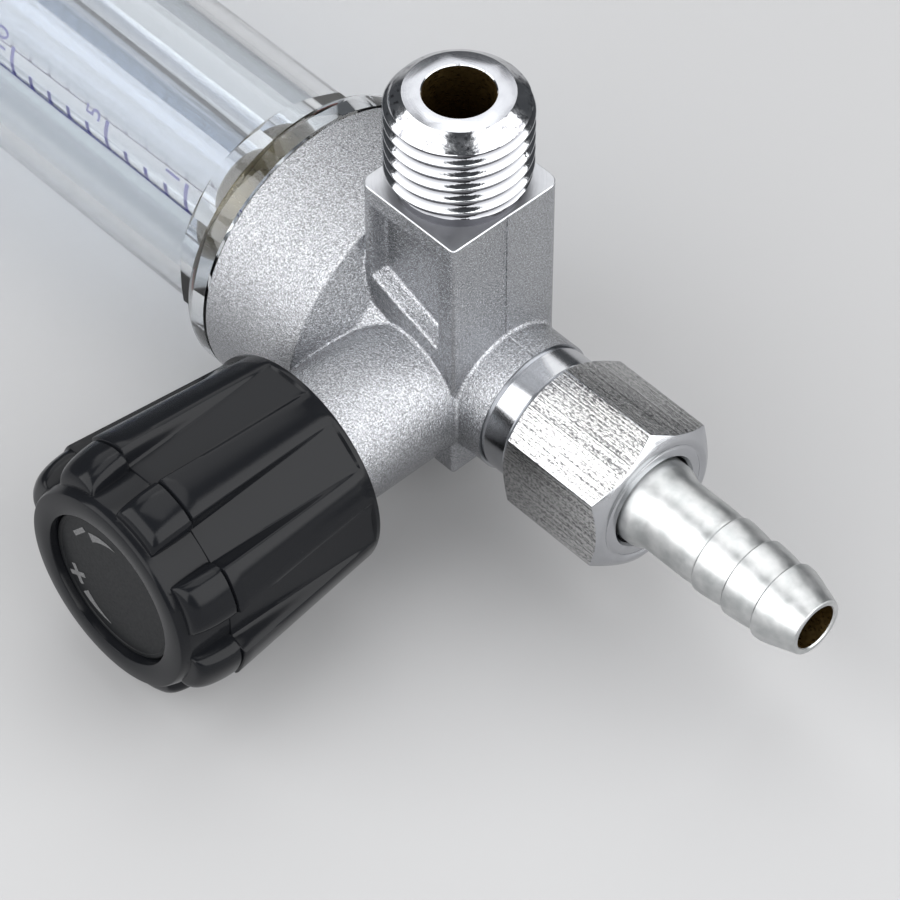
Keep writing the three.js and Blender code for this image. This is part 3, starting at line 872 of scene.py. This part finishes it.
def slice_across(mesh, step, reach):
    """Cuts a mesh at every step along X, so that it can bend round a tube."""
    bm = bmesh.new()
    bm.from_mesh(mesh)
    count = round(reach / step)
    for k in range(-count, count + 1):
        whole = bm.verts[:] + bm.edges[:] + bm.faces[:]
        bmesh.ops.bisect_plane(bm, geom=whole, plane_co=(step * k, 0, 0), plane_no=(1, 0, 0))
    bm.to_mesh(mesh)
    bm.free()


def printed_scale():
    half_line = LINE_WIDTH / TUBE_R / 2
    half_tick = TICK_WIDTH / 2
    parts = [printed_patch(scale_place(1) + 1.2, scale_place(SCALE_FULL) - half_tick,
                           SCALE_LINE - half_line, SCALE_LINE + half_line, 2)]
    for flow in range(1, SCALE_FULL + 1):
        major = flow == 1 or flow % 5 == 0
        x = scale_place(flow)
        tick_end = LONG_TICK if major else SHORT_TICK
        parts.append(printed_patch(x - half_tick, x + half_tick, SCALE_LINE + half_line, tick_end))
        if major:
            parts.append(printed_number(str(flow), x - 1.1, DIGIT_MIDDLE))
    scale = merged("scale_print", parts)
    finish_piece(scale, "regulator", None, "clear_tube", INK)


# ---- pieces inside the cover


def seal(name, node, axis, profile, body="regulator"):
    plain(name, node, body, axis, profile, BLACK_RUBBER, "black_rubber")


def ring_profile(along, mean, section):
    """Round section of an O-ring."""
    steps = 16
    points = [(along + section * math.sin(TAU * k / steps), mean + section * math.cos(TAU * k / steps))
              for k in range(steps)]
    return points + points[:1]


def moulded(obj, node, tools):
    """A white moulding with its slots cut out."""
    cut(obj, *tools)
    finish_piece(obj, "regulator", node, "white_plastic", WHITE)


def tube_holder():
    bore_r, seat_r, tube_r, nose = 1.75, 7.4, 6.3, -28.3
    plain("turned_tube_holder", "tube_holder", "regulator", "x", [
        (-8.3, bore_r), (-8.3, 4.3), (-12.5, 4.3), (-12.5, 6.9), (-12.6, 7.0), (-14.2, 7.0), (-14.2, 8.3),
        (-14.3, 8.4), (-24.3, 8.4), (-24.7, 8.3), (-27.5, 7.2), (-28.0, 6.9), (nose + 0.05, 6.6),
        (nose, tube_r), (-22.9, tube_r), (-22.9, seat_r), (-21.1, seat_r), (-21.1, tube_r), (-18.3, tube_r),
        (-18.3, bore_r), (-8.3, bore_r),
    ], DARK_BRASS, "brass", 128)


def float_stops():
    """Slotted stop below the float, and the stop above it, whose end has a cross of slots."""
    stop = turned("slotted_lower_stop", "x", tube_profile(-18.9, -23.0, 1.2, 3.0), 64)
    moulded(stop, "lower_float_stop", [box_mesh("slot", (-24, -22.1), (-0.7, 0.7), (-4, 4))])
    bore_r, seat_r = 1.6, 3.4
    crown = turned("crowned_upper_stop", "x", [
        (-102.9, bore_r), (-102.9, 3.8), (-103.0, 3.9), (-106.3, 3.9), (-106.3, 5.6), (-106.4, 5.7),
        (-109.3, 5.7), (-109.3, seat_r), (-107.3, seat_r), (-107.3, bore_r), (-102.9, bore_r),
    ])
    slot_x, half_wide, reach = (-110, -107.6), 1.3, 7
    moulded(crown, "upper_float_stop", [
        box_mesh("slot", slot_x, (-half_wide, half_wide), (-reach, reach)),
        box_mesh("slot", slot_x, (-reach, reach), (-half_wide, half_wide)),
    ])


def tube_spacer():
    """Ring between tube and cover, notched all round so that the gas can pass it."""
    count = 6
    spacer = turned("notched_tube_spacer", "x", tube_profile(-100.6, -103.2, 6.2, 10.4), 128)
    notches = []
    for k in range(count):
        notch = box_mesh("notch", (-104, -100), (7.9, 12.0), (-1.7, 1.7))
        notch.data.transform(Matrix.Rotation(TAU * k / count, 4, "X"))
        notches.append(notch)
    moulded(spacer, "tube_spacer", notches)


def inner_pieces():
    plain("red_seal_ring", "cover_o_ring", "regulator", "x", ring_profile(-18.2, 13.05, 0.72), RED_RUBBER,
          "red_rubber")
    seal("tube_seal_ring", "flow_tube_o_ring", "x", ring_profile(-22.0, 6.72, 0.6))
    seal("gland_seal_ring", "gland_o_ring", "y", ring_profile(-21.0, 2.75, 0.65))
    tube_holder()
    seal("flat_holder_gasket", "holder_gasket", "x", tube_profile(-11.7, -12.3, 4.6, 6.8))
    seal("end_cushion", "tube_cushion", "x", tube_profile(-109.5, -110.3, 3.0, 5.6))
    float_stops()
    tube_spacer()


def float_ball():
    mesh = bpy.data.meshes.new("polished_float")
    bm = bmesh.new()
    bmesh.ops.create_uvsphere(bm, u_segments=64, v_segments=32, radius=3.05)
    bm.to_mesh(mesh)
    bm.free()
    ball = bpy.data.objects.new("polished_float", mesh)
    bpy.context.scene.collection.objects.link(ball)
    mesh.transform(Matrix.Translation((-26.2, 0, 0)))
    finish_piece(ball, "float", "float_ball", "float_steel", STEEL)


# ---- knob


def knob_row(y, rib_r, panel, half_width, flat=False, edge=0, wall=RIB_WALL, pillow=0):
    """One ring of the knob's grip. The panel is a flat at that distance, or a round of that radius.
    A rib has a flat top and steep walls; with a pillow power it is one rounded swelling instead."""
    across_walls, across_top, across_panel = 6, 10, 10
    half_sector = TAU / KNOB_RIBS / 2
    top = half_width / rib_r
    foot = (half_width + wall) / panel
    root = panel / math.cos(foot - half_sector) if flat else panel

    def rib_radius(offset):
        if pillow:
            return root + (rib_r - root) * math.sqrt(1 - (offset / foot) ** pillow)
        if offset <= top:
            return rib_r - edge * (offset / top) ** 6
        t = (offset - top) / (foot - top)
        return rib_r - edge + (root - rib_r + edge) * t * t * (3 - 2 * t)

    beside = [top + (foot - top) * k / (across_walls + 1) for k in range(1, across_walls + 1)]
    across = [-offset for offset in reversed(beside)]
    across += [top * (2 * k / across_top - 1) for k in range(across_top + 1)]
    across += beside
    ring = []
    for i in range(KNOB_RIBS):
        middle = KNOB_PHASE + TAU * i / KNOB_RIBS
        ring += [(middle + offset, rib_radius(abs(offset))) for offset in across]
        for k in range(across_panel + 1):
            angle = foot + 2 * (half_sector - foot) * k / across_panel
            radius = panel / math.cos(angle - half_sector) if flat else panel
            ring.append((middle + angle, radius))
    return [(radius * math.cos(angle), y, radius * math.sin(angle)) for angle, radius in ring]


def round_rows(*rows):
    """Rings of the knob with neither ribs nor panels, from (place, radius, spread of points)."""
    return [knob_row(y, radius, radius, spread) for y, radius, spread in rows]


def knob_grip(rear):
    """Flat panels between ribs that rise and widen from the rear rim to the step."""
    steps, start = 14, rear - 0.8
    rows = []
    for k in range(steps + 1):
        s = k / steps
        y = start + (KNOB_STEP + 0.1 - start) * s
        rows.append(knob_row(y, 11.36 + 1.74 * s, PANEL_D, 1.72 + 0.6 * s, flat=True, edge=0.1))
    return rows + [
        knob_row(KNOB_STEP + 0.03, 13.07, PANEL_D - 0.03, 2.3, flat=True, edge=0.1),
        knob_row(KNOB_STEP, 13.0, PANEL_D - 0.08, 2.28, flat=True, edge=0.1),
    ]


def knob_nose():
    """In front of the step each rib goes on as a rounded swelling that dies away at the front rim."""
    steps, start, length, low, rise = 12, -38.85, 4.3, 10.75, 2.17
    rows = [knob_row(KNOB_STEP - 0.03, 12.72, 10.82, 2.2, wall=0.45, pillow=4.5)]
    for k in range(steps + 1):
        s = k / steps
        turn = math.pi / 2 * s
        y = start - length * math.sin(turn) ** 1.05
        radius = low + rise * math.cos(turn) ** 0.54 if k < steps else low - 0.03
        half_width = 2.22 - 0.3 * s * s
        rows.append(knob_row(y, radius, 10.8 - 0.12 * s, half_width, wall=0.5 + 0.1 * s, pillow=4 - s))
    return rows


def knob():
    front, rear = KNOB_Y
    recess, recess_r, hollow, hollow_r = -42.4, 8.03, -32.5, 2.5
    rings = round_rows(
        (rear, 9.2, 1.7), (rear, 11.0, 1.7), (rear - 0.04, 11.12, 1.7), (rear - 0.12, 11.22, 1.7),
        (rear - 0.3, RIM_R, 1.7), (rear - 0.62, RIM_R + 0.02, 1.7),
    )
    rings += knob_grip(rear) + knob_nose()
    rings += round_rows(
        (-43.3, 10.64, 1.7), (-43.6, 10.54, 1.8), (front + 0.18, 10.44, 1.8), (front + 0.05, 10.34, 1.8),
        (front, 10.2, 1.8), (front, 8.2, 1.5), (front + 0.05, 8.08, 1.5), (front + 0.15, recess_r, 1.5),
        (recess, recess_r, 1.5), (recess, hollow_r, 0.6), (hollow, hollow_r, 0.6), (hollow, 9.2, 1.7),
    )
    obj = rings_mesh("fluted_knob", rings, True)
    finish_piece(obj, "knob_and_spindle", "knob", "black_plastic", BLACK, angle=32)


def flat_patch(outline, y):
    """Thin plate of print on the knob's front: outline points in (x, z)."""
    count = len(outline)
    verts = [(x, y, z) for x, z in outline] + [(x, y - PRINT_DEPTH, z) for x, z in outline]
    faces = [tuple(range(count)), tuple(range(count, 2 * count))]
    faces += [(j, (j + 1) % count, count + (j + 1) % count, count + j) for j in range(count)]
    return verts, faces


def arc_arrow(radius, start, end, wide, y):
    """Tapering curved arrow: widest at its start, a point at its end. Angles in degrees."""
    steps = 10
    outer, inner = [], []
    for k in range(steps + 1):
        s = k / steps
        angle = math.radians(start + (end - start) * s)
        half = wide * (1 - s) / 2 + 0.02
        outer.append(((radius + half) * math.cos(angle), (radius + half) * math.sin(angle)))
        inner.append(((radius - half) * math.cos(angle), (radius - half) * math.sin(angle)))
    return flat_patch(outer + inner[::-1], y)


def turned_points(points, cos, sin):
    return [(x * cos - z * sin, x * sin + z * cos) for x, z in points]


def mark(sign, radius, angle, y):
    """A "-" or a "+" at a radius and an angle in degrees on the knob's front."""
    reach, half = 1.15, 0.26
    if sign == "+":
        arm = [(reach, -half), (reach, half), (half, half)]
        outline = sum((turned_points(arm, cos, sin) for cos, sin in ((1, 0), (0, 1), (-1, 0), (0, -1))), [])
    else:
        outline = [(reach, -half), (reach, half), (-reach, half), (-reach, -half)]
    at = math.radians(angle)
    lean = at + math.pi / 2
    middle_x, middle_z = radius * math.cos(at), radius * math.sin(at)
    leaning = turned_points(outline, math.cos(lean), math.sin(lean))
    return flat_patch([(middle_x + x, middle_z + z) for x, z in leaning], y)


def knob_disc():
    y = DISC_Y[0]
    disc = turned("round_knob_disc", "y", [
        (DISC_Y[1], 7.8), (y + 0.1, 7.88), (y, 7.75), (y, 7.45), (y + 0.08, 7.35), (y + 0.08, 3.0),
    ], 160)
    finish_piece(disc, "knob_and_spindle", "knob_disc", "label_disc", SATIN_BLACK)
    face = y + 0.07
    marks = merged("knob_marks", [
        mark("-", 5.9, 140, face), arc_arrow(5.2, 124, 84, 1.0, face),
        mark("+", 6.0, -152, face), arc_arrow(6.2, -134, -98, 1.0, face),
    ])
    finish_piece(marks, "knob_and_spindle", None, "label_disc", PRINT)


# ---- needle valve pieces, mostly hidden


def needle_spindle():
    needle_r, stem_r, shank_r, tail_r = 1.12, 2.5, 2.0, 1.7
    spindle = turned("turned_spindle", "y", [
        (-5.6, 0.25), (-8.2, needle_r), (-9.6, needle_r), (-9.6, 2.1), (-11.0, 2.1), (-11.0, 1.6),
        (-12.0, 1.6), (-12.0, stem_r), (-18.7, stem_r), (-18.7, shank_r), (-32.3, shank_r),
        (-32.3, tail_r), (-39.2, tail_r),
    ], 64)
    cut(spindle, bore("screw_hole", "y", -34.5, -41, 1.25, 32))
    finish_piece(spindle, "knob_and_spindle", "needle_spindle", "brass", BRASS)


def gland_nut():
    bore_r, shank_r, head_r, seal_r = 2.6, 4.6, 6.6, 3.5
    gland = turned("hex_gland", "y", [
        (-13.5, bore_r), (-13.5, shank_r), (-24.2, shank_r), (-24.2, 6.3), (-24.5, head_r),
        (-26.7, head_r), (-27.0, 6.3), (-27.0, 2.35), (-21.9, 2.35), (-21.9, seal_r), (-20.1, seal_r),
        (-20.1, bore_r), (-13.5, bore_r),
    ], 96)
    hexagon = prism("hexagon", "y", -24.1, -28, head_r, 6, 0)
    joined(hexagon, turned("shank", "y", [(-13, 5), (-24.3, 5)], 48))
    combine(gland, hexagon, "INTERSECT")
    finish_piece(gland, "regulator", "gland_nut", "brass", BRASS)


def knob_screw():
    head_r = 2.9
    screw = turned("pan_knob_screw", "y", [
        (-35.0, 1.05), (-40.1, 1.05), (-40.1, head_r), (-41.2, head_r), (-41.6, 2.7), (-41.9, 2.2),
    ], 64)
    cut(screw, box_mesh("drive", (-3.2, 3.2), (-42.5, -41.2), (-0.4, 0.4)))
    finish_piece(screw, "knob_and_spindle", "knob_screw", "steel", STEEL)


def valve_pieces():
    needle_spindle()
    gland_nut()
    plain("seat_ring", "valve_seat", "regulator", "y", tube_profile(-7.4, -9.2, 1.25, 3.05), WHITE,
          "white_plastic", 48)
    plain("stop_clip", "spindle_clip", "spindle_lift", "y", tube_profile(-11.1, -11.9, 1.7, 2.95), STEEL,
          "steel", 48)
    plain("flat_knob_washer", "knob_washer", "knob_and_spindle", "y",
          tube_profile(-39.45, -39.85, 1.4, 3.2, 0.06), STEEL, "steel", 48)
    knob_screw()


# ---- outlet


def nut_finish(at, normal):
    """Flats are milled, the bevels between them bright, and ends and bore turned."""
    if abs(normal.x) > 0.3 or math.hypot(at.y, at.z) < 6.3:
        return TURNED_X
    off_flat = math.degrees(math.atan2(normal.z, -normal.y)) % 60
    return MIRROR if 3 < off_flat < 57 else MILLED


def union_nut():
    start, end = NUT_X
    run = (NUT_CORNER_R - NUT_FACE_R) * math.tan(math.radians(30))
    groove = [(end, NUT_FACE_R - 0.5), (end - 0.12, NUT_FACE_R - 0.62), (end - 0.12, NUT_FACE_R - 0.8),
              (end, NUT_FACE_R - 0.92)]
    nut = turned("hex_union_nut", "x", [
        (start, NUT_FACE_R - 0.8), (start, NUT_FACE_R), (start + run, NUT_CORNER_R),
        (end - run, NUT_CORNER_R), (end, NUT_FACE_R), *groove, (end, 4.2),
    ], 192)
    combine(nut, prism("hexagon", "x", start - 1, end + 1, NUT_CORNER_R, 6, math.pi / 2), "INTERSECT")
    bevel(nut, width=0.18, segments=2, angle=24)
    cut(
        nut,
        bore("thread_bore", "x", start - 1, 22.7, 6.1, 96),
        turned("tail_hole", "x", [(start - 1, 4.8), (end - 0.3, 4.8), (end + 0.3, 5.3)], 96),
    )
    finish_piece(nut, "nut", "union_nut", "bright_chrome", MILLED, TURNED_X, MIRROR, choose=nut_finish,
                 angle=20)


def tail_finish(at, normal):
    """Nickel all over, and bare brass in the bore."""
    inside = math.hypot(at.y, at.z) < 2.4
    return BRASS if inside and abs(normal.x) < 0.5 else NICKEL


def hose_tail():
    start, end = TAIL_X
    flange_r, bore_r = 5.6, 2.35
    barbs = [(35.3, 3.7), (39.05, 3.62), (42.8, 3.62)]  # crest, and radius of the root before it
    profile = [(start, bore_r), (start, flange_r), (22.4, flange_r), (22.4, 4.5), (27.2, 4.5), (27.45, 4.42),
               (28.5, 4.02), (29.0, 3.96), (33.6, 3.95), (34.7, 3.86)]
    for x, root in barbs:
        profile += [(x - 0.28, root), (x - 0.12, root), (x, 4.02), (x + 0.14, 4.08), (x + 0.8, 4.06)]
        if x != barbs[-1][0]:
            profile += [(x + 2.2, 3.92), (x + 3.1, 3.78)]
    profile += [(44.4, 3.86), (46.9, 3.08), (end - 0.08, 2.98), (end, 2.86), (end, bore_r + 0.1),
                (end - 0.15, bore_r), (end - 0.9, bore_r), (start, bore_r)]
    tail = turned("barbed_hose_tail", "x", profile, 192)
    finish_piece(tail, "hose_connection", "hose_tail", "nickel", NICKEL, BRASS, choose=tail_finish,
                 angle=24)
    seal("outlet_sealing_ring", "outlet_gasket", "x", tube_profile(19.5, 20.3, 2.6, 5.3), "hose_connection")


# ---- stage


def pale_floor():
    g = Graph("pale_floor")
    tone = g.mix(g.noise(3, 3), (0.33, 0.33, 0.334), (0.345, 0.345, 0.349))
    g.set(Base_Color=tone, Roughness=0.8)
    reach = 3.0
    corners = [(-reach, -reach, 0), (reach, -reach, 0), (reach, reach, 0), (-reach, reach, 0)]
    floor = add_mesh("floor", corners, [(0, 1, 2, 3)])
    floor.data.materials.append(g.material)


def direction(azimuth, elevation):
    """Unit vector at angles in degrees; azimuth 0 is the knob's side, which is -Y, and 90 is +X."""
    a, e = math.radians(azimuth), math.radians(elevation)
    return Vector((math.sin(a) * math.cos(e), -math.cos(a) * math.cos(e), math.sin(e)))


def area_light(name, azimuth, elevation, distance, size, power):
    """Soft light aimed at the object."""
    back = direction(azimuth, elevation)
    light = bpy.data.lights.new(name, "AREA")
    light.shape = "RECTANGLE"
    light.size, light.size_y = size
    light.energy = power
    obj = bpy.data.objects.new(name, light)
    obj.location = ORIGIN + back * distance
    obj.rotation_euler = back.to_track_quat("Z", "Y").to_euler()
    bpy.context.scene.collection.objects.link(obj)


def lights():
    world = bpy.data.worlds.new("studio")
    world.use_nodes = True
    background = world.node_tree.nodes["Background"]
    background.inputs["Color"].default_value = (0.80, 0.84, 0.90, 1.0)
    background.inputs["Strength"].default_value = 0.12
    bpy.context.scene.world = world
    bpy.context.scene.view_settings.view_transform = "Standard"
    area_light("left_box", -10, 34, 0.75, (1.45, 0.85), 13.5)
    area_light("right_box", 108, 33, 0.75, (1.2, 0.85), 11.5)
    area_light("back_box", -133, 46, 0.9, (1.0, 0.6), 3.2)
    area_light("top_box", -150, 80, 0.9, (0.6, 0.6), 2.6)


def camera():
    """Long lens, 47 degrees round from the knob's side and 48 degrees up."""
    azimuth, elevation, distance, lens = 46.863, 48.438, 445.434, 186.66
    aim_right, aim_up = 0.826, 9.711
    right = direction(azimuth + 90, 0)
    back = direction(azimuth, elevation)
    up = back.cross(right)
    data = bpy.data.cameras.new("camera")
    data.lens = lens
    data.sensor_width = 36
    data.clip_start = 0.01
    obj = bpy.data.objects.new("camera", data)
    place = ORIGIN + (back * distance - right * aim_right - up * aim_up) * MM
    turn = Matrix((right, up, back)).transposed().to_4x4()
    obj.matrix_world = Matrix.Translation(place) @ turn
    bpy.context.scene.collection.objects.link(obj)
    bpy.context.scene.camera = obj


camera()
lights()
pale_floor()
valve_body()
outer_cover()
flow_tube()
printed_scale()
inner_pieces()
float_ball()
knob()
knob_disc()
valve_pieces()
union_nut()
hose_tail()
